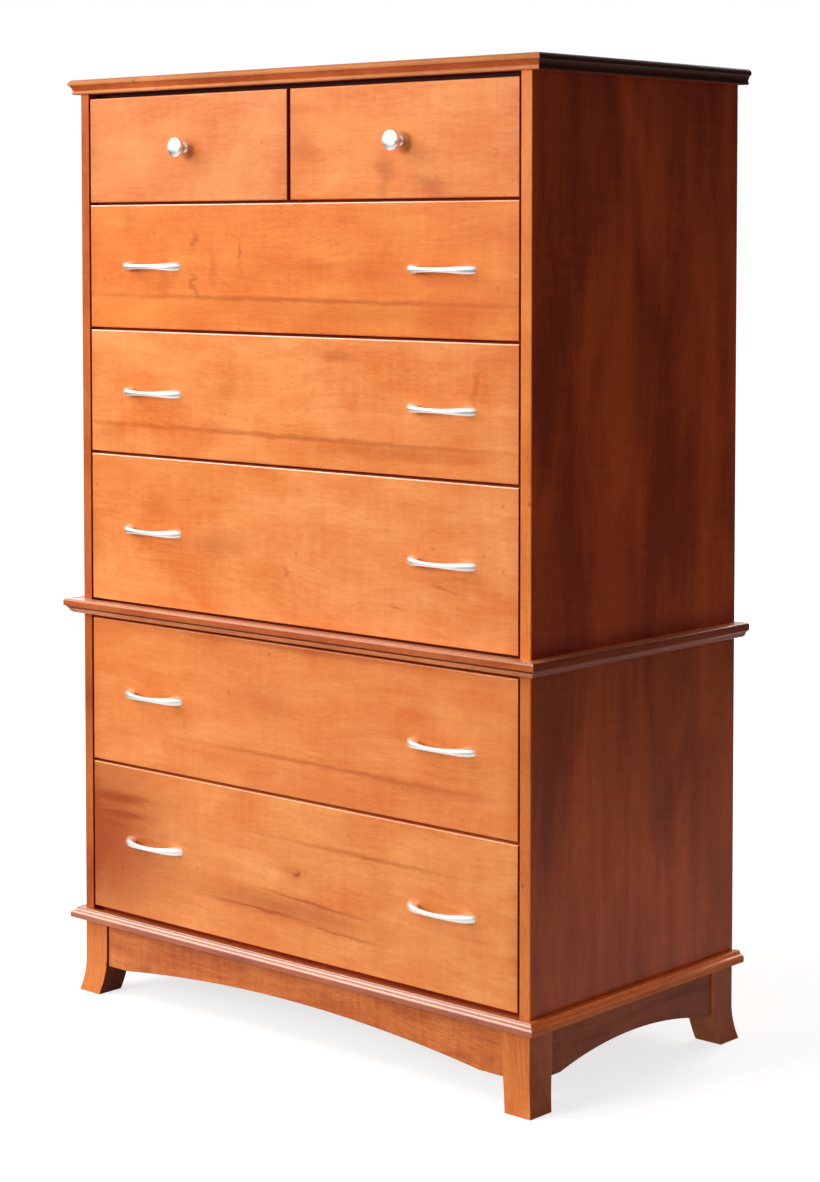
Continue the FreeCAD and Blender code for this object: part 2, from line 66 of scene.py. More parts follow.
# ---------------------------------------------------------------- studio
# A white sweep under soft lamps in front and high on the left, with a faint fill low on the
# right and a lamp behind for the back. The room is dim on the right and behind, so the chest's
# right side lies in shade; the eye sees white all round.
def linear(code):
    """A colour written as #rrggbb in sRGB, as linear red, green, blue and alpha."""
    channels = [int(code[i:i + 2], 16) / 255.0 for i in (1, 3, 5)]
    return tuple(c / 12.92 if c <= 0.04045 else ((c + 0.055) / 1.055) ** 2.4
                 for c in channels) + (1.0,)


def add(tree, kind, inputs=None, **settings):
    """A node with its settings, and its inputs set to a value or linked to a socket."""
    node = tree.nodes.new(kind)
    for name, value in settings.items():
        setattr(node, name, value)
    for name, value in (inputs or {}).items():
        if isinstance(value, bpy.types.NodeSocket):
            tree.links.new(value, node.inputs[name])
        else:
            node.inputs[name].default_value = value
    return node


def new_material(name):
    """An empty material, and its node tree."""
    material = bpy.data.materials.new(name)
    material.use_nodes = True
    material.node_tree.nodes.clear()
    return material, material.node_tree


def eye_sees(tree, outside, seen, unseen):
    """One shader for rays from the eye or through glass, and another for the rest."""
    path = add(tree, "ShaderNodeLightPath").outputs
    either = add(tree, "ShaderNodeMath",
                 {0: path["Is Camera Ray"], 1: path["Is Transmission Ray"]}, operation="MAXIMUM")
    mixed = add(tree, "ShaderNodeMixShader", {0: either.outputs[0], 1: unseen, 2: seen})
    add(tree, outside, {"Surface": mixed.outputs[0]})


world = bpy.data.worlds.new("studio")
world.use_nodes = True
tree = world.node_tree
tree.nodes.clear()
direction = add(tree, "ShaderNodeTexCoord").outputs["Generated"]
# How far a ray goes to the back right: 1 is straight there.
back_right = add(tree, "ShaderNodeVectorMath", {0: direction, 1: (0.7, 0.7, 0.0)},
                 operation="DOT_PRODUCT").outputs["Value"]
# Light that reaches wood from all sides, and brighter walls for gloss to mirror; 1 is white.
for_wood = 0.168
for_gloss = add(tree, "ShaderNodeMapRange", {"Value": back_right, "From Min": 0.1, "From Max": 0.7,
                                             "To Min": 1.2, "To Max": 0.10}).outputs[0]
glossy = add(tree, "ShaderNodeLightPath").outputs["Is Glossy Ray"]
strength = add(tree, "ShaderNodeMix", {0: glossy, 2: for_wood, 3: for_gloss}).outputs[0]
walls = add(tree, "ShaderNodeBackground", {"Color": linear("#FFFFFF"), "Strength": strength})
white_room = add(tree, "ShaderNodeBackground", {"Color": linear("#FFFFFF"), "Strength": 1.0})
eye_sees(tree, "ShaderNodeOutputWorld", white_room.outputs[0], walls.outputs[0])
bpy.context.scene.world = world

# The sweep is matt white paper, which gives the eye a clean ground with a soft shadow. It bounces
# as a mid grey, so that wood in shade stays deep, and it whitens with distance, where the lamps
# don't reach it.
paper, tree = new_material("matt white paper")
grey = add(tree, "ShaderNodeBsdfDiffuse", {"Color": linear("#B4B0AC")})
matt = add(tree, "ShaderNodeBsdfDiffuse", {"Color": linear("#BCBCBC")})
spot = add(tree, "ShaderNodeTexCoord").outputs["Object"]
away = add(tree, "ShaderNodeVectorMath", {0: spot}, operation="LENGTH").outputs["Value"]
# Gloss mirrors it as paler near the chest than it bounces.
near = add(tree, "ShaderNodeMapRange", {"Value": away, "From Min": 1.0, "From Max": 3.0,
                                        "To Min": 0.6, "To Max": 0.0})
mirrored = add(tree, "ShaderNodeLightPath").outputs["Is Glossy Ray"]
shine = add(tree, "ShaderNodeMath", {0: near.outputs[0], 1: mirrored}, operation="MULTIPLY")
shining = add(tree, "ShaderNodeEmission",
              {"Color": linear("#FFFFFF"), "Strength": shine.outputs[0]})
bounce = add(tree, "ShaderNodeAddShader", {0: grey.outputs[0], 1: shining.outputs[0]})
glow = add(tree, "ShaderNodeMapRange", {"Value": away, "From Min": 1.0, "From Max": 3.5,
                                        "To Min": 0.74, "To Max": 1.0})
lift = add(tree, "ShaderNodeEmission", {"Color": linear("#FFFFFF"), "Strength": glow.outputs[0]})
white = add(tree, "ShaderNodeAddShader", {0: matt.outputs[0], 1: lift.outputs[0]})
eye_sees(tree, "ShaderNodeOutputMaterial", white.outputs[0], bounce.outputs[0])

reach = 30.0                        # far enough that no view shows its edge
mesh = bpy.data.meshes.new("floor")
mesh.from_pydata([(-reach, -reach, 0), (reach, -reach, 0), (reach, reach, 0), (-reach, reach, 0)],
                 [], [(0, 1, 2, 3)])
mesh.materials.append(paper)
floor = bpy.data.objects.new("floor", mesh)
bpy.context.scene.collection.objects.link(floor)

# Name, place, what it points at, width in metres and power in watts.
for name, place, target, size, power in (
        ("front_lamp", (-1.3, -4.6, 2.1), (0.0, -0.2, 0.6), 1.6, 130.0),
        ("left_lamp", (-2.9, -2.0, 3.1), (0.0, -0.2, 0.8), 2.6, 116.0),
        ("low_fill", (0.95, 0.0, 0.11), (0.47, 0.0, 0.20), 0.5, 0.8),
        ("back_lamp", (-0.4, 4.4, 2.6), (0.0, 0.3, 0.8), 2.0, 110.0)):
    lamp = bpy.data.objects.new(name, bpy.data.lights.new(name, "AREA"))
    bpy.context.scene.collection.objects.link(lamp)
    lamp.data.size = size
    lamp.data.energy = power
    lamp.location = place
    lamp.visible_camera = False
    lamp.visible_glossy = name != "low_fill"    # too near to be mirrored
    lamp.rotation_euler = (Vector(target) - Vector(place)).to_track_quat("-Z", "Y").to_euler()


# ---------------------------------------------------------------- base
# Four sabre legs cut from 51 mm maple and kicked out at the foot, tenoned skirts with an arched
# lower edge between them, and a glued brace in each corner. All but the braces are stained, and
# the legs' sides and the side skirts are darkened with painted shade.

# How places are turned, so that a pattern drawn along X runs along another axis.
TURNS = {"x": (0.0, 0.0, 0.0), "y": (0.0, 0.0, -pi / 2), "z": (0.0, pi / 2, 0.0)}
front_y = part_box("sixth_drawer_front")[0].y     # the plane of all the drawer fronts


def stained_maple(name, grain, pale, deep, dark, shift=(0.0, 0.0, 0.0), cloud=0.6,
                  cloud_size=(0.14, 0.065), band=0.35, mottle=0.3, curl=0.14, fleck=0.20,
                  peck=0.5, rings=0.0, sheen=0.3, gloss=0.30, marks=()):
    """Maple under a wiped stain and satin lacquer: soft clouds, faint bands, short dark pores.

    The grain runs along an axis, and sizes are in metres. cloud, band, mottle and curl say how
    far each pattern moves the tone from pale to deep, and fleck, peck and rings how dark those
    are. A mark is (x, z, half length, half height, turn in degrees, strength): a knot, or a
    streak, on the front face of a drawer.
    """
    material, tree = new_material(name)
    place = add(tree, "ShaderNodeTexCoord").outputs["Object"]
    board = add(tree, "ShaderNodeMapping",
                {"Vector": place, "Rotation": TURNS[grain], "Location": shift}).outputs[0]

    # Lines of growth wander by about 12 mm over a quarter of a metre.
    paced = add(tree, "ShaderNodeMapping", {"Vector": board, "Scale": (4.0, 9.0, 9.0)})
    wander = add(tree, "ShaderNodeTexNoise",
                 {"Vector": paced.outputs[0], "Scale": 1.0, "Detail": 1.0})
    centred = add(tree, "ShaderNodeVectorMath",
                  {0: wander.outputs["Color"], 1: (0.5, 0.5, 0.5)}, operation="SUBTRACT")
    grown = add(tree, "ShaderNodeVectorMath",
                {0: centred.outputs[0], 1: (0.0, 0.05, 0.05), 2: board},
                operation="MULTIPLY_ADD").outputs[0]

    # Each pattern's length along the grain and height across it, and how much it breaks up.
    # Pores are drawn 1.6 mm thick, so that they show.
    figure = {}
    for part, source, length, height, detail in (
            ("clouds", board, cloud_size[0], cloud_size[1], 3.0),
            ("bands", grown, 0.600, 0.013, 3.0),
            ("lines", grown, 0.110, 0.006, 2.0),
            ("mottle", grown, 0.022, 0.0032, 2.0),
            ("curl", board, 0.010, 0.070, 1.0),
            ("pores", grown, 0.018, 0.0016, 1.0),
            ("rings", grown, 0.770, 0.125, 1.0)):
        sized = add(tree, "ShaderNodeMapping",
                    {"Vector": source, "Scale": (1.0 / length, 1.0 / height, 1.0 / height)})
        figure[part] = add(tree, "ShaderNodeTexNoise",
                           {"Vector": sized.outputs[0], "Scale": 1.0, "Detail": detail,
                            "Distortion": 0.4 if source == board else 0.0}).outputs["Fac"]

    # From the pale stain at 0 to the deep one at 1.
    tone = 0.5
    for part, share in (("clouds", cloud), ("bands", band * 0.8), ("lines", band * 0.6),
                        ("mottle", mottle), ("curl", curl)):
        spread = add(tree, "ShaderNodeMapRange",
                     {"Value": figure[part], "From Min": 0.30, "From Max": 0.70,
                      "To Min": -share / 2, "To Max": share / 2})
        tone = add(tree, "ShaderNodeMath", {0: tone, 1: spread.outputs[0]}).outputs[0]
    body = add(tree, "ShaderNodeMix", {0: tone, 6: linear(pale), 7: linear(deep)},
               data_type="RGBA").outputs[2]

    # Pecks, about 5 mm across, sit in one cell of three, and cells are 45 mm apart.
    cells = add(tree, "ShaderNodeMapping", {"Vector": grown, "Scale": (22.0, 22.0, 22.0)})
    specks = add(tree, "ShaderNodeTexVoronoi", {"Vector": cells.outputs[0], "Scale": 1.0})
    dot = add(tree, "ShaderNodeSeparateXYZ", {0: specks.outputs["Color"]}).outputs["X"]
    missing = add(tree, "ShaderNodeMath", {0: dot, 1: 0.36}, operation="GREATER_THAN")
    pecks = add(tree, "ShaderNodeMath", {0: specks.outputs["Distance"], 1: missing.outputs[0]})
    # Rings cut by the face are thin arched lines along a slowly changing depth of growth.
    depth = add(tree, "ShaderNodeMath", {0: figure["rings"], 1: 14.0}, operation="MULTIPLY")
    ring = add(tree, "ShaderNodeMath", {0: depth.outputs[0]}, operation="FRACT")
    # Where each dark thing starts and ends, and how dark it is.
    darker = [(figure["pores"], 0.74, 0.56, fleck), (pecks.outputs[0], 0.03, 0.11, peck),
              (ring.outputs[0], 0.0, 0.16, rings)]
    if marks:
        # Edges of a knot or streak are ragged by about 9 mm along the grain and 2 mm across it.
        fine = add(tree, "ShaderNodeMapping", {"Vector": place, "Scale": (30.0, 90.0, 110.0)})
        rough = add(tree, "ShaderNodeTexNoise",
                    {"Vector": fine.outputs[0], "Scale": 1.0, "Detail": 3.0})
        off = add(tree, "ShaderNodeVectorMath",
                  {0: rough.outputs["Color"], 1: (0.5, 0.5, 0.5)}, operation="SUBTRACT")
        ragged = add(tree, "ShaderNodeVectorMath",
                     {0: off.outputs[0], 1: (0.035, 0.0, 0.008), 2: place},
                     operation="MULTIPLY_ADD").outputs[0]
        for x, z, half_length, half_height, turn, strength in marks:
            inside = add(tree, "ShaderNodeMapping",
                         {"Vector": ragged, "Location": (x, front_y, z),
                          "Rotation": (0.0, radians(turn), 0.0),
                          "Scale": (half_length, 1.0, half_height)}, vector_type="TEXTURE")
            distance = add(tree, "ShaderNodeVectorMath", {0: inside.outputs[0]},
                           operation="LENGTH").outputs["Value"]
            darker.append((distance, 0.0, 1.0, strength))
    darkness = 0.0
    for source, full, none, strength in darker:
        faded = add(tree, "ShaderNodeMapRange",
                    {"Value": source, "From Min": full, "From Max": none, "To Min": strength,
                     "To Max": 0.0}, interpolation_type="SMOOTHSTEP")
        darkness = add(tree, "ShaderNodeMath", {0: darkness, 1: faded.outputs[0]}).outputs[0]
    colour = add(tree, "ShaderNodeMix", {0: darkness, 6: body, 7: linear(dark)},
                 data_type="RGBA").outputs[2]

    height = add(tree, "ShaderNodeMath", {0: figure["pores"], 1: figure["bands"]})
    bump = add(tree, "ShaderNodeBump",
               {"Strength": 0.07, "Distance": 0.0004, "Height": height.outputs[0]}).outputs[0]
    satin = add(tree, "ShaderNodeMapRange",
                {"Value": figure["bands"], "From Min": 0.3, "From Max": 0.7,
                 "To Min": gloss - 0.04, "To Max": gloss + 0.04}).outputs[0]
    shader = add(tree, "ShaderNodeBsdfPrincipled",
                 {"Base Color": colour, "Normal": bump, "IOR": 1.5, "Roughness": satin,
                  "Specular IOR Level": sheen, "Coat Weight": sheen, "Coat Roughness": 0.18})
    add(tree, "ShaderNodeOutputMaterial", {"Surface": shader.outputs[0]})
    return material


JUST_UNDER = 0.0001                 # how far under a face its finish is looked up
WELD = 0.00001                      # corners nearer than this are one corner
FLAT = radians(0.5)                 # facets that turn by less than this are one face
ARRIS = radians(28.0)               # edges that turn by more than this are arrises


def mitre_face(face):
    """True for an upright face at 45 degrees, where two mouldings meet."""
    close = 0.01
    normal = face.normal
    return abs(abs(normal.x) - abs(normal.y)) < close and abs(normal.z) < close


def eased(node, ease, finishes, finish_of=lambda inside, normal: 0,
          length_of=lambda inside: 0):
    """The node's shape with its triangles joined up and its arrises rounded, in its place.

    finish_of takes a point just under a face, and the face's normal, and gives the number of
    the finish there. Where mitred lengths meet in a node, length_of gives a point's length, and
    each length is joined up by itself.
    """
    source = frame["nodes"][node].data
    lengths = {}
    for triangle in source.polygons:
        inside = triangle.center - triangle.normal * JUST_UNDER
        lengths.setdefault(length_of(inside), []).append(
            [source.vertices[i].co for i in triangle.vertices])
    whole = bmesh.new()
    for triangles in lengths.values():
        length = bmesh.new()
        for corners in triangles:
            length.faces.new([length.verts.new(corner) for corner in corners])
        bmesh.ops.remove_doubles(length, verts=length.verts, dist=WELD)
        bmesh.ops.dissolve_limit(length, angle_limit=FLAT, verts=length.verts,
                                 edges=length.edges)
        mesh = bpy.data.meshes.new(node)
        length.to_mesh(mesh)
        whole.from_mesh(mesh)
        bpy.data.meshes.remove(mesh)
        length.free()
    whole.normal_update()
    weight = whole.edges.layers.float.new("bevel_weight_edge")
    for edge in whole.edges:
        if len(edge.link_faces) == 2 and edge.calc_face_angle() > ARRIS:
            if any(mitre_face(face) for face in edge.link_faces):
                edge.smooth = False
            else:
                edge[weight] = 1.0
    for face in whole.faces:
        face.smooth = True
        inside = face.calc_center_median() - face.normal * JUST_UNDER
        face.material_index = finish_of(inside, face.normal)
    mesh = bpy.data.meshes.new(node)
    whole.to_mesh(mesh)
    whole.free()
    for finish in finishes:
        mesh.materials.append(finish)
    piece = bpy.data.objects.new(node + "_eased", mesh)
    bpy.context.scene.collection.objects.link(piece)
    bevel = piece.modifiers.new("ease", "BEVEL")
    bevel.width = ease
    bevel.segments = 2
    bevel.limit_method = "WEIGHT"
    even = piece.modifiers.new("even", "WEIGHTED_NORMAL")
    even.keep_sharp = True
    settle(piece)
    stand_for(piece, node)


def settle(piece):
    """Turns a piece's modifiers into plain mesh."""
    graph = bpy.context.evaluated_depsgraph_get()
    mesh = bpy.data.meshes.new_from_object(piece.evaluated_get(graph), depsgraph=graph)
    piece.modifiers.clear()
    piece.data = mesh


def body_of(node):
    """The body that a node belongs to."""
    bodies = frame["record"]["behaviour"]["bodies"]
    return next(body for body, nodes in bodies.items() if node in nodes)


def stand_for(piece, node):
    """The piece takes the place of a node, and moves with its body."""
    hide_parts(node)
    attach(piece, body_of(node))


BASE_EASE = 0.0012                  # arrises taken off with sandpaper
# Warm orange brown with long soft figure: the eye reads a post cut from one piece.
leg_wood = stained_maple("stained maple, upright grain", "z", "#F8984F", "#D66E30", "#8E3C18",
                         cloud=0.7, sheen=0.15)
# Deeper and duller on the legs' sides than on their fronts: painted shade, a shaded copy of the
# leg wood that makes a leg look square.
leg_side_painted_shade = stained_maple("stained maple, legs' sides in painted shade", "z", "#B86038", "#904220", "#54210E",
                              cloud=0.7, sheen=0.08)
# Lively curl across the grain, so that a wide board catches the light unevenly.
skirt_wood = stained_maple("stained maple, long skirts", "x", "#E88844", "#C05C28", "#7E3414",
                           shift=(0.3, 0.0, 0.1), band=0.5, curl=0.28, fleck=0.35, sheen=0.15)
# Red brown, darker than the front and back skirts: painted shade, as the side skirts lie in the
# chest's shade.
side_skirt_painted_shade = stained_maple("stained maple, side skirts in painted shade", "y", "#9A4C28", "#743016",
                                "#4A1A0A", shift=(0.1, 0.2, 0.0), band=0.6, sheen=0.08)
# Painted shade: dark brown on the legs' sides towards the middle, in the hollows beside the
# skirts, which look deep.
leg_inner_painted_shade = stained_maple("stained maple, legs' inner sides in painted shade", "z", "#8A4428", "#682E18",
                               "#3E180A", cloud=0.7, sheen=0.05)


def leg_finish(inside, normal):
    """0 for a leg's front and back, 1 for its outer side, 2 for its inner side: both painted
    shade.
    """
    if abs(normal.x) < 0.7:
        return 0
    return 1 if normal.x * inside.x > 0 else 2


for corner in ("front_left", "front_right", "rear_left", "rear_right"):
    eased("leg_" + corner, BASE_EASE, [leg_wood, leg_side_painted_shade, leg_inner_painted_shade],
          leg_finish)
for side in ("front", "rear"):
    eased("skirt_" + side, BASE_EASE, [skirt_wood])
for side in ("left", "right"):
    eased("skirt_" + side, BASE_EASE, [side_skirt_painted_shade])


# ---------------------------------------------------------------- cases
# Two boxes of 19 mm veneered sides, lipped in front with solid maple and joined by web frames that
# are stained throughout; the top frame and the partition are painted nearly black as shade under
# the crown. Guides and braces are bare, and the backs are plywood.
CASE_EASE = 0.0004                  # veneered edges stay nearly sharp
EDGE_DEPTH = 0.0019                 # a face this near the fronts' plane is a side's front edge
# Pale and deep stain of the veneer of each case, darker and redder than the fronts: partly the
# veneer's own tone, partly painted shade of the sides.
VENEERS = {"upper": ("#CE521C", "#963210"), "lower": ("#BA501F", "#883411")}
# Pale and deep stain of each side's lipping, where its grain starts, and how much it shines.
LIPPINGS = {
    "upper_side_left": ("#D07038", "#AC4C1E", (0.0, 0.4, 0.2), 0.08),
    "upper_side_right": ("#F48E44", "#D86E2C", (0.0, 0.1, 0.7), 0.15),
    "lower_side_left": ("#CC6C34", "#A84A1C", (0.0, 0.7, 0.5), 0.08),
    "lower_side_right": ("#E4823C", "#C86426", (0.0, 0.3, 1.1), 0.15)}


def side_finish(inside, normal):
    """Lipping on the front edge, veneer everywhere else."""
    return 1 if inside.y < front_y + EDGE_DEPTH else 0


def dress(node, material):
    """Gives a node its finish and leaves its shape alone."""
    mesh = frame["nodes"][node].data
    mesh.materials.clear()
    mesh.materials.append(material)


# Large soft clouds and little grain: quiet dark panels that set off the bright fronts. The dark is
# partly the veneer's own and partly painted shade.
side_veneers = {
    case: stained_maple("stained veneer with painted shade, " + case + " case", "z", pale, deep, "#4A1A08",
                        cloud=1.2, cloud_size=(0.34, 0.085), band=0.3, mottle=0.12, peck=0.2,
                        sheen=0.12, gloss=0.34)
    for case, (pale, deep) in VENEERS.items()}
# A lipping is a plain bright line down the front edge, which draws the outline of the case.
for node, (pale, deep, shift, sheen) in LIPPINGS.items():
    lipping = stained_maple("lipping of " + node.replace("_", " "), "z", pale, deep, "#863C1A",
                            shift=shift, cloud=0.9, band=0.2, sheen=sheen)
    eased(node, CASE_EASE, [side_veneers[node[:5]], lipping], side_finish)

# Pale, dry and dull: wood that was never meant to be seen.
bare_wood = stained_maple("bare poplar", "x", "#DDBB8C", "#C9A270", "#8A6A42", cloud=0.4,
                          peck=0.1, sheen=0.15, gloss=0.5)
bare_wood_back = stained_maple("bare poplar, front to back", "y", "#DDBB8C", "#C9A270", "#8A6A42",
                               cloud=0.4, peck=0.1, sheen=0.15, gloss=0.5)
# Front rails stained a deep red, a little deeper than the case, in the gaps between the fronts.
# The top rail and the partition are painted nearly black: painted shade under the crown and
# between the small fronts.
rail_wood = stained_maple("stained front rails", "x", "#BC4222", "#902C14", "#4A1408", sheen=0.05)
top_rail_painted_shade = stained_maple("top rail and partition in painted shade", "x", "#4A140A", "#300C06",
                              "#200804", sheen=0.05)
# Pale sheets with broad arched rings, the look of peeled veneer.
plywood = stained_maple("maple plywood, bare", "z", "#E4BE8E", "#D0A070", "#946640", cloud=0.5,
                        band=0.9, peck=0.15, rings=0.25, sheen=0.15, gloss=0.5)
for node in ("lower_bottom_frame", "lower_middle_frame", "lower_top_frame", "upper_bottom_frame",
             "upper_low_frame", "upper_middle_frame", "upper_high_frame"):
    dress(node, rail_wood)
for node in ("upper_top_frame", "partition"):
    dress(node, top_rail_painted_shade)
dress("drawer_guides", bare_wood_back)
dress("corner_braces", bare_wood)
for node in ("lower_back", "upper_back"):
    dress(node, plywood)


# ---------------------------------------------------------------- mouldings and top
# Lengths of solid maple run on a spindle, mitred at the two front corners and glued round the
# cases. The crown is planted round the edge of a solid top board.
MOULDING_EASE = 0.0006              # fresh from the cutter, and sanded once
# The stain is laid in bands with painted light and shade: lighter on what stands out and faces
# up, as painted highlight, darker in the coves, as painted shade, and nearly black on the crown's
# returns, as painted shade of the sides. Each band of a moulding, going up: where it ends, as a
# share of the height, its pale and deep stain, and how much it shines. The bands of the front
# length come first, then those of the two returns.
MOULDINGS = {
    "base_moulding": (
        ((0.43, "#C4622E", "#963A14", 0.55), (1.00, "#D68251", "#B4623A", 0.80)),
        ((0.43, "#CC6A36", "#A84C20", 0.08), (1.00, "#FC8747", "#D5622C", 0.08))),
    "waist_moulding": (
        ((0.36, "#F09258", "#C86E3A", 0.10), (0.50, "#742E14", "#561E0A", 0.05),
         (0.84, "#CC6C32", "#A8481C", 0.20), (0.98, "#D0763C", "#B25A2A", 0.28),
         (1.00, "#F8C8A4", "#E4A67C", 1.00)),
        ((0.98, "#9E4A28", "#7A3014", 0.08), (1.00, "#E89060", "#C86C3C", 0.25))),
    "crown_moulding": (
        ((0.24, "#E29058", "#C0723E", 0.10), (0.62, "#CE6830", "#A44218", 0.10),
         (1.00, "#D88448", "#B86A32", 0.05)),
        # Painted shade: the crown's returns are nearly black.
        ((1.00, "#56240F", "#3E180A", 0.08),))}


def front_length(inside, low, high):
    """True for a point in the front length of a moulding with that box, not in a return."""
    return high.x - abs(inside.x) > inside.y - low.y


def banded(node, fronts, returns):
    """Eases a moulding and paints bands of light and shade on it, to show its curves from far off.
    """
    low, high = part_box(node)

    def band_of(inside, normal):
        """The number of a band: the front length's from 0 up, and then the returns'."""
        share = (inside.z - low.z) / (high.z - low.z)
        if front_length(inside, low, high):
            return sum(share > band[0] for band in fronts)
        return len(fronts) + sum(share > band[0] for band in returns)

    name = node.replace("_", " ")
    woods = [stained_maple("stained maple, " + name, "x", pale, deep, "#6E2C12",
                           shift=(0.7, 0.0, 0.3), cloud=0.7, band=0.3, sheen=sheen)
             for _, pale, deep, sheen in fronts]
    woods += [stained_maple("stained maple, returns of " + name, "y", pale, deep, "#3A140A",
                            shift=(0.2, 0.0, 0.5), cloud=0.7, band=0.3, sheen=sheen)
              for _, pale, deep, sheen in returns]
    eased(node, MOULDING_EASE, woods, band_of,
          lambda inside: 0 if front_length(inside, low, high) else 1)


for node, (fronts, returns) in MOULDINGS.items():
    banded(node, fronts, returns)

# The crown's own colour, so that moulding and top look like one slab.
top_wood = stained_maple("stained maple, top board", "x", "#CE6830", "#A44218", "#5E220C",
                         shift=(0.7, 0.0, 0.3), cloud=0.7, band=0.3, sheen=0.10)
eased("top_board", CASE_EASE, [top_wood])


# ---------------------------------------------------------------- drawer fronts
# Solid maple boards 20 mm thick with a rounded front edge, each with figure of its own. Stain
# lies lighter on them than on the case, under satin lacquer.
FRONT_EASE = 0.0003                 # besides the rounded edge that the solids have
# Each board's pale and deep stain, where its grain starts, and its knots and streaks.
BOARDS = {
    "top_left_drawer": ("#F09A5C", "#DA6E2E", (0.15, 0.0, 0.00), ()),
    "top_right_drawer": ("#F99F58", "#E07029", (1.35, 0.3, 0.21), (
        (0.035, 1.375, 0.035, 0.040, 0.0, 0.30),
        (0.198, 1.340, 0.036, 0.024, 15.0, 0.52),
        (0.194, 1.310, 0.020, 0.032, 0.0, 0.30),
        (0.285, 1.314, 0.056, 0.020, 12.0, 0.50),
        (0.405, 1.360, 0.006, 0.012, -20.0, 0.40))),
    "second_drawer": ("#F79446", "#DE681F", (2.10, 0.1, 0.40), (
        (0.000, 1.146, 0.800, 0.0065, 0.3, 0.50),
        (0.100, 1.128, 0.480, 0.030, 0.0, 0.20),
        (-0.207, 1.235, 0.012, 0.024, 12.0, 0.50),
        (-0.210, 1.168, 0.012, 0.036, -16.0, 0.50),
        (-0.275, 1.190, 0.022, 0.070, 4.0, 0.28),
        (-0.165, 1.195, 0.018, 0.040, -8.0, 0.28),
        (-0.108, 1.217, 0.006, 0.034, 4.0, 0.45),
        (-0.358, 1.270, 0.030, 0.026, 20.0, 0.28),
        (0.040, 1.196, 0.120, 0.010, 0.0, 0.18))),
    "third_drawer": ("#F9A15E", "#E2712A", (3.20, 0.6, 0.13), (
        (-0.020, 0.939, 0.800, 0.007, 0.3, 0.50),
        (0.230, 0.925, 0.260, 0.018, 0.0, 0.32),
        (-0.400, 0.925, 0.050, 0.030, 0.0, 0.25),
        (0.100, 1.064, 0.060, 0.013, 0.0, 0.42),
        (0.372, 1.030, 0.012, 0.055, 10.0, 0.30),
        (-0.130, 1.015, 0.030, 0.050, 10.0, 0.18))),
    "fourth_drawer": ("#F9A160", "#E27630", (4.40, 0.2, 0.35), (
        (-0.155, 0.762, 0.090, 0.035, -8.0, 0.32),
        (-0.300, 0.810, 0.060, 0.025, 0.0, 0.20),
        (-0.010, 0.732, 0.008, 0.012, -20.0, 0.45),
        (0.215, 0.700, 0.030, 0.003, 4.0, 0.55),
        (0.262, 0.790, 0.005, 0.003, 0.0, 0.60),
        (0.290, 0.792, 0.006, 0.003, 0.0, 0.60),
        (0.315, 0.735, 0.050, 0.004, 12.0, 0.40))),
    "fifth_drawer": ("#F79B56", "#E0722E", (5.10, 0.5, 0.08), (
        (0.040, 0.446, 0.420, 0.006, 0.5, 0.45),
        (0.270, 0.440, 0.200, 0.014, 0.5, 0.30),
        (-0.050, 0.530, 0.110, 0.050, 0.0, 0.18),
        (0.000, 0.618, 0.460, 0.012, 0.0, 0.40))),
    "sixth_drawer": ("#FBA65F", "#E47B35", (6.30, 0.0, 0.27), (
        (-0.430, 0.265, 0.260, 0.240, 0.0, 0.95),
        (-0.380, 0.332, 0.140, 0.012, -2.0, 0.34),
        (-0.370, 0.306, 0.110, 0.008, -2.0, 0.34),
        (-0.430, 0.288, 0.070, 0.007, 0.0, 0.30),
        (0.150, 0.321, 0.330, 0.006, 0.4, 0.45),
        (-0.020, 0.216, 0.280, 0.030, 1.5, 0.50),
        (0.050, 0.232, 0.170, 0.004, 3.0, 0.55),
        (-0.080, 0.205, 0.200, 0.004, 1.0, 0.50),
        (0.120, 0.195, 0.120, 0.004, 2.0, 0.50),
        (0.016, 0.272, 0.013, 0.009, 0.0, 0.75),
        (0.010, 0.268, 0.045, 0.026, 0.0, 0.25),
        (0.462, 0.262, 0.022, 0.170, 0.0, 0.34))),
}
# How much the upper edge shines, where that isn't 1.
EDGE_SHEEN = {"top_left_drawer": 0.15, "top_right_drawer": 0.15, "sixth_drawer": 0.45}


def front_finish(inside, normal):
    """1 for the rounded upper edge, 2 for the ends from where they turn by 30 degrees, else 0."""
    # Ends and their rounded upright edges: end grain, with painted shade of the gaps.
    if abs(normal.x) > 0.5:
        return 2
    return 1 if normal.y < -0.15 and normal.z > 0.15 else 0


# End grain drinks the stain and turns dark red. The same dark red also covers the rounded upright
# edges, as painted shade of the gaps beside a front, so the gaps look deep.
end_grain_and_gap_shade = stained_maple("end grain and painted gap shade of the fronts", "x", "#A8341A", "#84240E", "#401006",
                          sheen=0.05, gloss=0.5)

for drawer, (pale, deep, shift, marks) in BOARDS.items():
    low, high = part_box(drawer + "_front")
    middle_z = (low.z + high.z) / 2
    # The ends of a board drink more stain.
    marks += tuple((x, middle_z, 0.030, 0.20, 0.0, 0.22) for x in (low.x, high.x))
    # Bright orange with soft clouds, and short dark pores from near by: the face of the chest.
    front_wood = stained_maple("stained maple, " + drawer.replace("_", " "), "x", pale, deep,
                               "#A84400", shift=shift, marks=marks, cloud=0.65, band=0.30,
                               mottle=0.26, fleck=0.16, peck=0.32, sheen=0.2)
    # The upper edge is rubbed smoother than the face, and shines, but not under the crown.
    edge_wood = stained_maple("rubbed edge, " + drawer.replace("_", " "), "x", pale, deep,
                              "#A84400", shift=shift, gloss=0.22,
                              sheen=EDGE_SHEEN.get(drawer, 1.0))
    eased(drawer + "_front", FRONT_EASE, [front_wood, edge_wood, end_grain_and_gap_shade],
          front_finish)


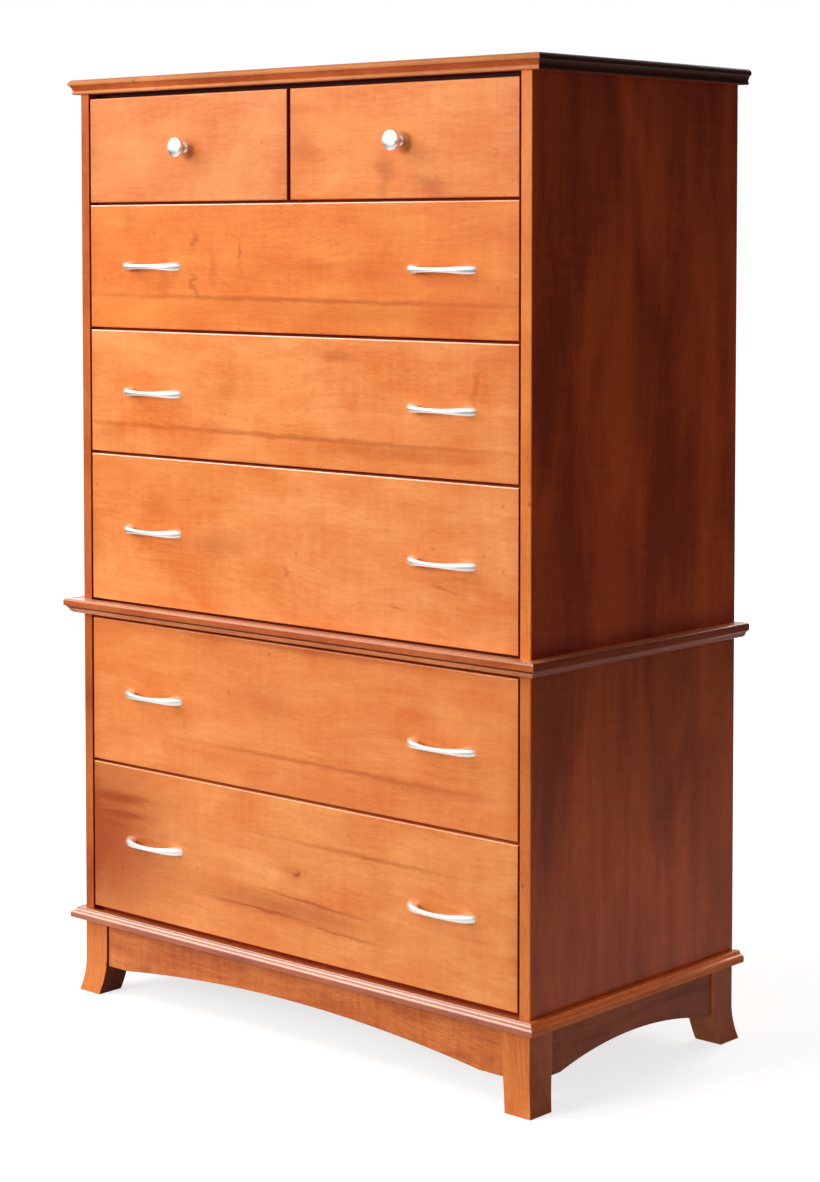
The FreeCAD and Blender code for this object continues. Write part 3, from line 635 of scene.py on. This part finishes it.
# ---------------------------------------------------------------- drawer boxes
# Sides and back of clear maple, dovetailed to the stained front, with a plywood bottom let into
# grooves and two cleats under it that straddle the guide bar.

# Creamy, clean and barely glossy, so that an open drawer looks new inside.
box_wood = stained_maple("clear maple box", "y", "#F6D3A8", "#E4B788", "#A07848", cloud=0.4,
                         band=0.4, peck=0.1, gloss=0.4)
# A shade darker, with broad rings, so that the bottom reads as a sheet.
bottom_ply = stained_maple("clear maple plywood", "x", "#EFCB9C", "#DCAF7C", "#966E40",
                           cloud=0.4, band=0.8, peck=0.1, rings=0.2, gloss=0.4)
for drawer in BOARDS:
    dress(drawer + "_box", box_wood)
    dress(drawer + "_bottom", bottom_ply)


# ---------------------------------------------------------------- pulls, knobs, turn buttons
# Zinc castings plated in satin nickel, screwed on from inside the drawer. A pull is a flat bow,
# thin in the middle and full at its feet; a knob is a mushroom on a short flared neck.
def satin_nickel():
    """Brushed nickel plate: pale warm grey, broad soft highlights, faint lines of the brush."""
    material, tree = new_material("satin nickel plate")
    place = add(tree, "ShaderNodeTexCoord").outputs["Object"]
    # Brush lines 0.4 mm apart and 8 mm long.
    lines = add(tree, "ShaderNodeMapping", {"Vector": place, "Scale": (125.0, 2500.0, 2500.0)})
    brushed = add(tree, "ShaderNodeTexNoise",
                  {"Vector": lines.outputs[0], "Scale": 1.0, "Detail": 1.0}).outputs["Fac"]
    bump = add(tree, "ShaderNodeBump",
               {"Strength": 0.05, "Distance": 0.0001, "Height": brushed}).outputs[0]
    rough = add(tree, "ShaderNodeMapRange", {"Value": brushed, "To Min": 0.26, "To Max": 0.36})
    shader = add(tree, "ShaderNodeBsdfPrincipled",
                 {"Base Color": linear("#F2F2EE"), "Metallic": 1.0, "Normal": bump,
                  "Roughness": rough.outputs[0]})
    add(tree, "ShaderNodeOutputMaterial", {"Surface": shader.outputs[0]})
    return material


nickel = satin_nickel()
# A pull's length, the length of a foot, how far it stands out, how thick its bow is, and how
# high it is at its ends and in its middle.
PULL = {"length": 0.132, "foot": 0.025, "reach": 0.023, "bow": 0.006, "end": 0.0155,
        "waist": 0.007}
PULL_SPACING = 0.611                # from pull to pull on a wide front
KNOB_REACH = 0.0265                 # from the drawer to the tip of a knob
# Radius and distance from the drawer: a small base, a waisted neck, and a domed cap.
KNOB_OUTLINE = ((0.0084, 0.0), (0.0084, 0.0014), (0.0077, 0.0026), (0.0067, 0.0042),
                (0.0060, 0.0062), (0.0059, 0.0084), (0.0063, 0.0106), (0.0078, 0.0126),
                (0.0104, 0.0142), (0.0132, 0.0156), (0.0152, 0.0173), (0.0160, 0.0194),
                (0.0157, 0.0215), (0.0147, 0.0233), (0.0127, 0.0247), (0.0099, 0.0257),
                (0.0066, 0.0262), (0.0034, 0.0264))


def curve_point(corners, t):
    """A point on the cubic curve with four control points."""
    s = 1.0 - t
    shares = (s * s * s, 3 * s * s * t, 3 * s * t * t, t * t * t)
    return [sum(share * corner[i] for share, corner in zip(shares, corners)) for i in (0, 1)]


def pull_rings(middle_x, middle_z):
    """Oval sections of a pull from foot to foot, each a list of points."""
    half = PULL["length"] / 2
    inner_half = half - PULL["foot"]
    inner_reach = PULL["reach"] - PULL["bow"]
    # Half of the bow's outer and inner lines: how far along the front, and how far out.
    outer = ((0.0, PULL["reach"]), (half * 0.56, PULL["reach"]), (half * 0.88, 0.0135),
             (half, 0.0))
    inner = ((0.0, inner_reach), (inner_half * 0.6, inner_reach), (inner_half, 0.010),
             (inner_half, 0.0))
    stations, around = 28, 28
    rings = []
    for i in range(-stations, stations + 1):
        t = abs(i) / stations
        side = -1.0 if i < 0 else 1.0
        out_x, out_y = curve_point(outer, t)
        in_x, in_y = curve_point(inner, t)
        swell = (out_x / half) ** 2.2
        half_high = (PULL["waist"] + (PULL["end"] - PULL["waist"]) * swell) / 2
        ring = []
        for j in range(around):
            angle = 2 * pi * j / around
            # A squarish oval: its front is nearly flat.
            c, s = cos(angle), sin(angle)
            c = abs(c) ** 0.75 * (1 if c > 0 else -1)
            s = abs(s) ** 0.9 * (1 if s > 0 else -1)
            x = (out_x + in_x) / 2 + (out_x - in_x) / 2 * c
            out = (out_y + in_y) / 2 + (out_y - in_y) / 2 * c
            ring.append((middle_x + side * x, front_y - out, middle_z + half_high * s))
        rings.append(ring)
    return rings


def knob_rings(middle_x, middle_z):
    """Circles of a knob from its base to its crown."""
    around = 40
    return [[(middle_x + radius * cos(2 * pi * j / around), front_y - out,
              middle_z + radius * sin(2 * pi * j / around)) for j in range(around)]
            for radius, out in KNOB_OUTLINE]


def skin(shape, rings, tip=None):
    """Joins rings of points into a closed skin, ending in a tip or a flat face."""
    loops = [[shape.verts.new(point) for point in ring] for ring in rings]
    for one, other in zip(loops, loops[1:]):
        for j in range(len(one)):
            k = (j + 1) % len(one)
            shape.faces.new((one[j], one[k], other[k], other[j]))
    shape.faces.new(loops[0])
    if tip:
        crown = shape.verts.new(tip)
        for j in range(len(loops[-1])):
            shape.faces.new((loops[-1][j], loops[-1][(j + 1) % len(loops[-1])], crown))
    else:
        shape.faces.new(loops[-1])


# A turn button's size, how much its corners are clipped, and how far it sits from the middle of a
# wide drawer.
BUTTON = {"width": 0.020, "thickness": 0.003, "height": 0.036, "clip": 0.004, "spread": 0.200}


def add_buttons(shape, drawer):
    """Adds a drawer's turn buttons: plates clipped so that they turn without catching the rail."""
    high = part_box(drawer + "_hardware")[1]
    around = "_front" if drawer.startswith("top") else "_box"
    middle = sum(corner.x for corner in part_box(drawer + around)) / 2
    z0, z1, clip = high.z - BUTTON["height"], high.z, BUTTON["clip"]
    for side in (0,) if drawer.startswith("top") else (-1, 1):
        x0 = middle + side * BUTTON["spread"] - BUTTON["width"] / 2
        x1 = middle + side * BUTTON["spread"] + BUTTON["width"] / 2
        outline = [(x0 + clip, z0), (x1 - clip, z0), (x1, z0 + clip), (x1, z1 - clip),
                   (x1 - clip, z1), (x0 + clip, z1), (x0, z1 - clip), (x0, z0 + clip)]
        skin(shape, [[(x, y, z) for x, z in outline]
                     for y in (high.y - BUTTON["thickness"], high.y)])


for drawer in BOARDS:
    low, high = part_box(drawer + "_front")
    middle_x = (low.x + high.x) / 2
    middle_z = (low.z + high.z) / 2
    shape = bmesh.new()
    if drawer.startswith("top"):
        skin(shape, knob_rings(middle_x, middle_z), (middle_x, front_y - KNOB_REACH, middle_z))
    else:
        for side in (-1, 1):
            skin(shape, pull_rings(middle_x + side * PULL_SPACING / 2, middle_z))
    add_buttons(shape, drawer)
    bmesh.ops.recalc_face_normals(shape, faces=shape.faces)
    for face in shape.faces:
        face.smooth = True
    mesh = bpy.data.meshes.new(drawer + "_metal")
    shape.to_mesh(mesh)
    shape.free()
    mesh.set_sharp_from_angle(angle=radians(40.0))
    mesh.materials.append(nickel)
    metal = bpy.data.objects.new(drawer + "_metal", mesh)
    bpy.context.scene.collection.objects.link(metal)
    stand_for(metal, drawer + "_hardware")


# ---------------------------------------------------------------- screws
# Pan-head screws hold the backs to the cases every 120 to 180 mm, and larger ones hold the knobs
# and pulls through the fronts. They are of the same nickel plate, and glint as dots.
BACK_SCREW = (0.0035, 0.0016)       # radius and height of a head
PULL_SCREW = (0.0045, 0.0022)       # the same, for knobs and pulls
PAN_TOP = 0.62                      # a head's top is this much as wide as its foot


def screw_tree():
    """Geometry nodes that put a screw's head on every point, facing the back."""
    tree = bpy.data.node_groups.new("screw heads", "GeometryNodeTree")
    face = tree.interface
    face.new_socket("Points", in_out="INPUT", socket_type="NodeSocketGeometry")
    for name in ("Head radius", "Head height"):
        face.new_socket(name, in_out="INPUT", socket_type="NodeSocketFloat")
    face.new_socket("Finish", in_out="INPUT", socket_type="NodeSocketMaterial")
    face.new_socket("Heads", in_out="OUTPUT", socket_type="NodeSocketGeometry")
    given = add(tree, "NodeGroupInput").outputs
    crown = add(tree, "ShaderNodeMath", {0: given["Head radius"], 1: PAN_TOP},
                operation="MULTIPLY")
    head = add(tree, "GeometryNodeMeshCone",
               {"Vertices": 16, "Radius Top": crown.outputs[0],
                "Radius Bottom": given["Head radius"], "Depth": given["Head height"]},
               fill_type="NGON")
    heads = add(tree, "GeometryNodeInstanceOnPoints",
                {"Points": given["Points"], "Instance": head.outputs["Mesh"],
                 "Rotation": (-pi / 2, 0.0, 0.0)})
    real = add(tree, "GeometryNodeRealizeInstances", {"Geometry": heads.outputs[0]})
    finished = add(tree, "GeometryNodeSetMaterial",
                   {"Geometry": real.outputs[0], "Material": given["Finish"]})
    add(tree, "NodeGroupOutput", {"Heads": finished.outputs[0]})
    return tree


def screws(name, body, points, size):
    """Screw heads of a size on a body, at points on a face that looks along +Y."""
    mesh = bpy.data.meshes.new(name)
    mesh.from_pydata(points, [], [])
    piece = bpy.data.objects.new(name, mesh)
    bpy.context.scene.collection.objects.link(piece)
    modifier = piece.modifiers.new("heads", "NODES")
    modifier.node_group = heads_tree
    values = {"Head radius": size[0], "Head height": size[1], "Finish": nickel}
    for item in heads_tree.interface.items_tree:
        if item.name in values:
            modifier[item.identifier] = values[item.name]
    settle(piece)
    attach(piece, body)


heads_tree = screw_tree()
back_points = []
for node in ("lower_back", "upper_back"):
    low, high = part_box(node)
    inset = 0.010                   # from the edge of the sheet
    columns, rows = 6, 5 if node == "upper_back" else 4
    for i in range(columns):
        x = low.x + inset + (high.x - low.x - 2 * inset) * i / (columns - 1)
        back_points += [(x, high.y, low.z + inset), (x, high.y, high.z - inset)]
    for j in range(1, rows):
        z = low.z + inset + (high.z - low.z - 2 * inset) * j / rows
        back_points += [(low.x + inset, high.y, z), (high.x - inset, high.y, z)]
screws("back_screws", "case", back_points, BACK_SCREW)

for drawer in BOARDS:
    low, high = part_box(drawer + "_front")
    middle_x = (low.x + high.x) / 2
    middle_z = (low.z + high.z) / 2
    if drawer.startswith("top"):
        places = [middle_x]
    else:
        foot = (PULL["length"] - PULL["foot"]) / 2
        places = [middle_x + side * PULL_SPACING / 2 + end * foot
                  for side in (-1, 1) for end in (-1, 1)]
    screws(drawer + "_screws", drawer, [(x, high.y, middle_z) for x in places], PULL_SCREW)
